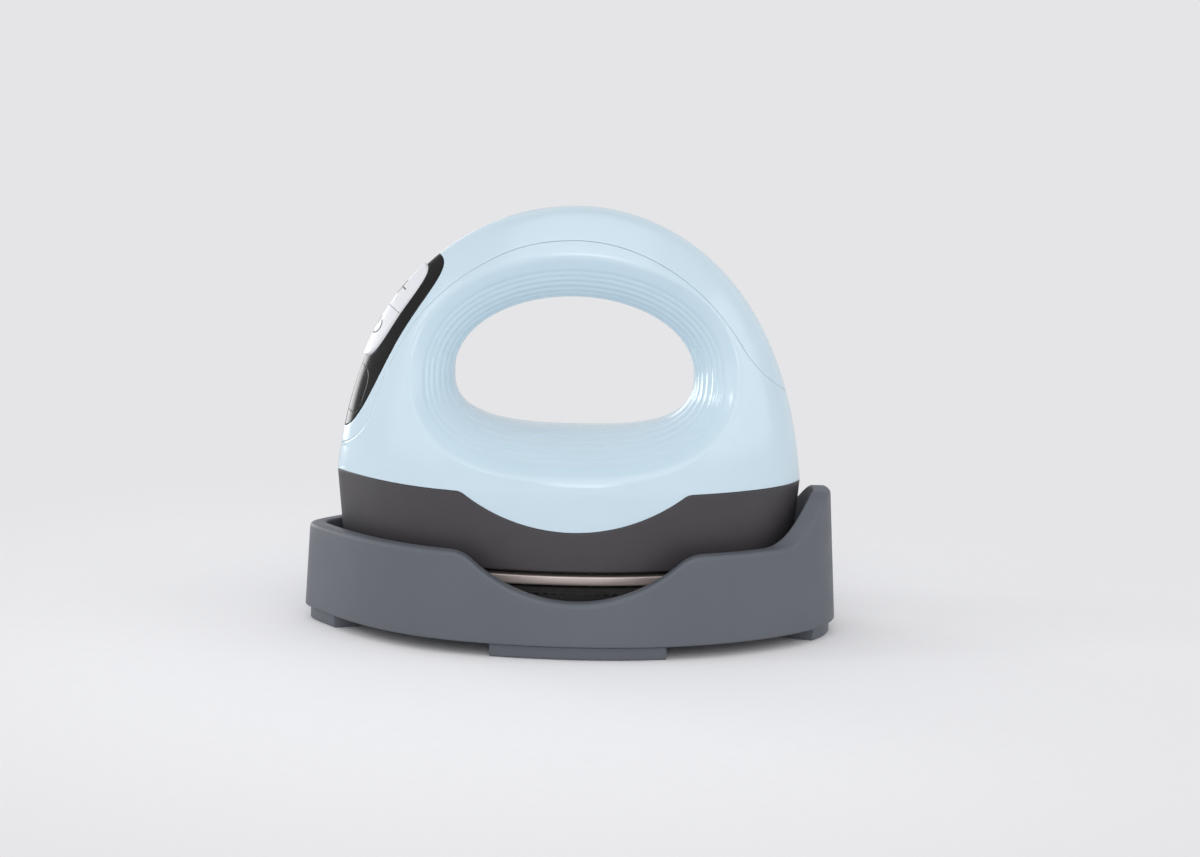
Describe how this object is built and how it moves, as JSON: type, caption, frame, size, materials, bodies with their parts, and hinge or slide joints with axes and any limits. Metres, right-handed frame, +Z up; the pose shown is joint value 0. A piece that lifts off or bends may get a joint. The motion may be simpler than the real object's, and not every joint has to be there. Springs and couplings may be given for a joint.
{
  "type": "mini heat press",
  "caption": "Small handheld heat press with a D-shaped handle, a sloping button panel and a coated hot plate, standing in an open safety cradle with feet and arched cut-outs.",
  "frame": {"origin": "on the table, under the middle of the cradle", "axes": "+Z up, -X towards the panel end, +X towards the end with the mains inlet, Y through the hand hole"},
  "size_m": [0.1274, 0.0756, 0.1005],
  "materials": {
    "blue_shell": "light blue gloss moulding",
    "skirt_plastic": "dark warm grey, fine matte",
    "cradle_plastic": "blue-grey, fine matte",
    "plate_coating": "rose-taupe satin coating on aluminium",
    "pad": "black, matte",
    "black_plastic": "black",
    "gloss_black": "black gloss",
    "window": "dark tinted, polished",
    "white_caps": "silvery white, satin gloss",
    "steel": "plain",
    "pin_metal": "nickel plated",
    "mica": "mica sheet",
    "ceramic": "unglazed",
    "board": "green solder mask",
    "component_plastic": "blue",
    "wire_insulation": "off-white"
  },
  "bodies": {
    "cradle": {"cradle_shell": "cradle_plastic", "rest_pad": "pad", "foot_front": "cradle_plastic", "foot_back": "cradle_plastic", "foot_nose": "cradle_plastic", "foot_heel": "cradle_plastic"},
    "press": {"heating_plate": "plate_coating", "gap_ring": "black_plastic", "heater_sheet": "mica", "clamp_plate": "steel", "thermal_fuse": "steel", "temperature_sensor": "ceramic", "plate_post_1": "ceramic", "plate_post_2": "ceramic", "plate_post_3": "ceramic", "plate_post_4": "ceramic", "plate_screw_1": "steel", "plate_screw_2": "steel", "plate_screw_3": "steel", "plate_screw_4": "steel", "skirt": "skirt_plastic", "front_shell": "blue_shell", "back_shell": "blue_shell", "spine_cover": "blue_shell", "shell_screw_1": "steel", "shell_screw_2": "steel", "panel_bezel": "gloss_black", "display_window": "window", "plus_switch": "black_plastic", "power_switch": "black_plastic", "display_module": "black_plastic", "control_board": "board", "mains_board": "board", "relay": "component_plastic", "filter_capacitor": "black_plastic", "mains_fuse": "ceramic", "terminal_block": "component_plastic", "inlet": "black_plastic", "inlet_pin_1": "pin_metal", "inlet_pin_2": "pin_metal", "inlet_lead_1": "wire_insulation", "inlet_lead_2": "wire_insulation", "heater_lead_1": "wire_insulation", "heater_lead_2": "wire_insulation", "fuse_lead_1": "wire_insulation", "fuse_lead_2": "wire_insulation", "sensor_lead": "wire_insulation", "panel_cable": "wire_insulation"},
    "plus_key": {"plus_button": "white_caps", "plus_plunger": "white_caps"},
    "power_key": {"power_button": "white_caps", "power_plunger": "white_caps"}
  },
  "joints": [
    {"name": "press_lift", "type": "slide", "parent": "cradle", "child": "press", "axis": [0, 0, 1], "range_m": [0, 0.08]},
    {"name": "plus_press", "type": "slide", "parent": "press", "child": "plus_key", "axis": [0.866, 0, -0.5], "range_m": [0, 0.0005], "stiffness_N_per_m": 1000, "springref_m": -0.001},
    {"name": "power_press", "type": "slide", "parent": "press", "child": "power_key", "axis": [0.866, 0, -0.5], "range_m": [0, 0.0005], "stiffness_N_per_m": 1000, "springref_m": -0.001}
  ]
}
